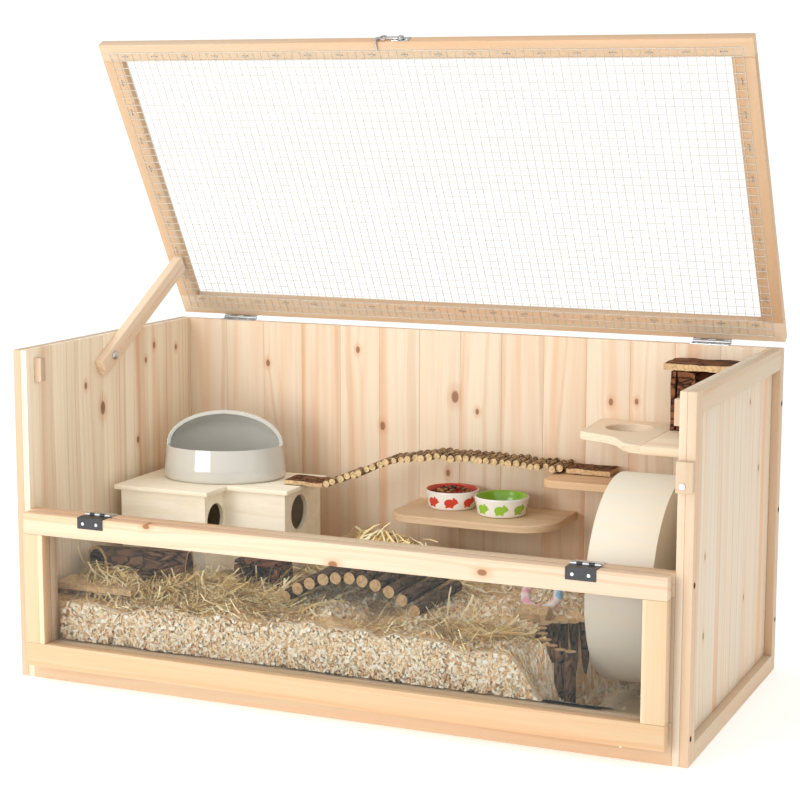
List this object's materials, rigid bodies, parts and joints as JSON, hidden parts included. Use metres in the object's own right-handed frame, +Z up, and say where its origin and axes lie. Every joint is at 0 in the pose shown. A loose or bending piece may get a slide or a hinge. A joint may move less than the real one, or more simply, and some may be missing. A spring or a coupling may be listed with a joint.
{
  "type": "wooden hamster cage",
  "caption": "Wooden small-animal cage with a propped mesh lid, a fold-down glazed front flap, and shelves, house, wheel, bridges and bedding inside.",
  "frame": {"origin": "middle of the underside of the floor board, on the surface the cage stands on", "axes": "+X to the right seen from the front, +Y to the back, +Z up"},
  "size_m": [1, 0.5237, 0.9235],
  "materials": {
    "spruce": "planed, pale spruce",
    "birch_plywood": "sanded plywood",
    "shelf_wood": "planed boards",
    "bark": "bark left on",
    "twig_wood": "peeled twigs",
    "screw_steel": "bright screws",
    "zinc_steel": "zinc plated",
    "bright_plate": "bright plated",
    "galvanised_wire": "galvanised",
    "clear_acrylic": "clear pane",
    "grey_glaze": "satin glaze",
    "red_glaze": "white outside, red inside",
    "green_glaze": "white outside, green inside",
    "wood_shavings": "loose shavings",
    "dry_grass": "loose hay"
  },
  "bodies": {
    "cage": {"floor_panel": "spruce", "left_side_planks": "spruce", "right_side_planks": "spruce", "left_side_frame": "spruce", "right_side_frame": "spruce", "back_planks": "spruce", "carcass_screws": "screw_steel", "lower_front_rails": "spruce", "lower_front_stiles": "spruce", "lower_pane": "clear_acrylic", "stop_blocks": "spruce", "turn_button_screw": "screw_steel", "flap_hinge_fixed_leaves": "zinc_steel", "flap_hinge_pins": "zinc_steel", "carcass_hinge_screws": "screw_steel", "lid_hinge_fixed_leaves": "zinc_steel", "lid_hinge_pins": "zinc_steel", "prop_bolt": "bright_plate", "prop_nut": "zinc_steel", "wheel_axle": "zinc_steel", "wheel_stand": "birch_plywood", "house_walls": "birch_plywood", "house_roofs": "birch_plywood", "sand_bath": "grey_glaze", "bowl_shelf": "shelf_wood", "bridge_shelf": "shelf_wood", "corner_shelf": "shelf_wood", "bridge_end_plates": "bark", "bridge_twigs": "twig_wood", "red_bowl": "red_glaze", "green_bowl": "green_glaze", "bark_house_roof": "bark", "bark_house_walls": "bark", "log_tunnel": "bark", "log_bridge": "bark", "bark_fence": "bark", "plank_platform": "bark", "bark_hide": "bark", "chew_toys": "twig_wood", "bedding": "wood_shavings", "hay": "dry_grass"},
    "flap": {"flap_rails": "spruce", "flap_stiles": "spruce", "flap_pane": "clear_acrylic", "flap_beads": "spruce", "flap_keeper": "zinc_steel", "flap_hinge_moving_leaves": "zinc_steel", "flap_screws": "screw_steel"},
    "turn_button": {"turn_button": "spruce"},
    "lid": {"lid_rails": "spruce", "lid_side_rails": "spruce", "lid_mesh": "galvanised_wire", "lid_staples": "galvanised_wire", "lid_hinge_moving_leaves": "zinc_steel", "lid_screws": "screw_steel", "latch_plate": "bright_plate"},
    "latch_hook": {"latch_hook": "bright_plate"},
    "prop_arm": {"prop_arm": "spruce"},
    "wheel": {"wheel_band": "birch_plywood", "wheel_disc": "birch_plywood"}
  },
  "joints": [
    {"name": "flap_hinge", "type": "hinge", "parent": "cage", "child": "flap", "pos_m": [0, -0.243, 0.2517], "axis": [-1, 0, 0], "range_deg": [0, 180]},
    {"name": "turn_button_pivot", "type": "hinge", "parent": "cage", "child": "turn_button", "pos_m": [0.4865, -0.2453, 0.363], "axis": [0, -1, 0], "range_deg": [0, 90]},
    {"name": "lid_hinge", "type": "hinge", "parent": "cage", "child": "lid", "pos_m": [0, 0.2438, 0.483], "axis": [-1, 0, 0], "range_deg": [-59.65, 35]},
    {"name": "prop_arm_pivot", "type": "hinge", "parent": "cage", "child": "prop_arm", "pos_m": [-0.4777, -0.02702, 0.44867], "axis": [1, 0, 0], "range_deg": [-125.3, 73.6]},
    {"name": "latch_swing", "type": "hinge", "parent": "lid", "child": "latch_hook", "pos_m": [-0.002, -0.00005, 0.91974], "axis": [0, -0.5053, 0.863], "range_deg": [0, 90]},
    {"name": "wheel_spin", "type": "hinge", "parent": "cage", "child": "wheel", "pos_m": [0.388, -0.048, 0.192], "axis": [1, 0, 0], "continuous": true}
  ],
  "couplings": [
    {"joint": "prop_arm_pivot", "follows": "lid_hinge", "ratio": 2.1}
  ]
}
